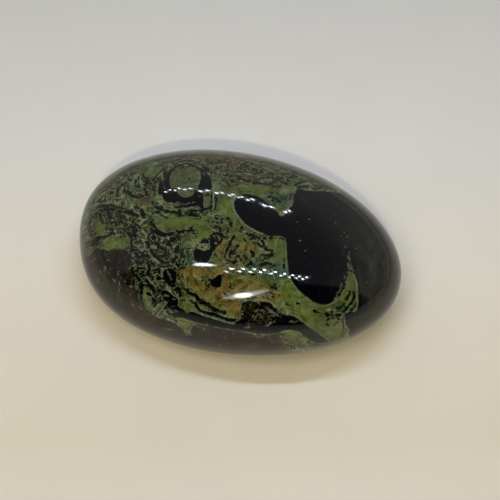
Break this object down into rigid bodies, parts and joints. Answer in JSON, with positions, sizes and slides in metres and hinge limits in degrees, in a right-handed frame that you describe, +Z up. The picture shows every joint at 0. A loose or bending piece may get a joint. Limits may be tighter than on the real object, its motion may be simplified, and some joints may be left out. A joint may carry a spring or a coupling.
{
  "type": "kambaba jasper pebble",
  "caption": "Hand-polished kambaba jasper palm stone: a flattened egg of green stone with black orbs, resting on a small flat spot.",
  "frame": {"origin": "middle of the pebble's box, on the surface that it stands on", "axes": "+X along the length towards the narrower end, +Y across the width, +Z up through the thickness"},
  "size_m": [0.0656, 0.0448, 0.0273],
  "materials": {
    "polished_jasper": "green and black orbicular stone, hand polished to a wet gloss"
  },
  "bodies": {
    "root": {"pebble": "polished_jasper"}
  },
  "joints": []
}
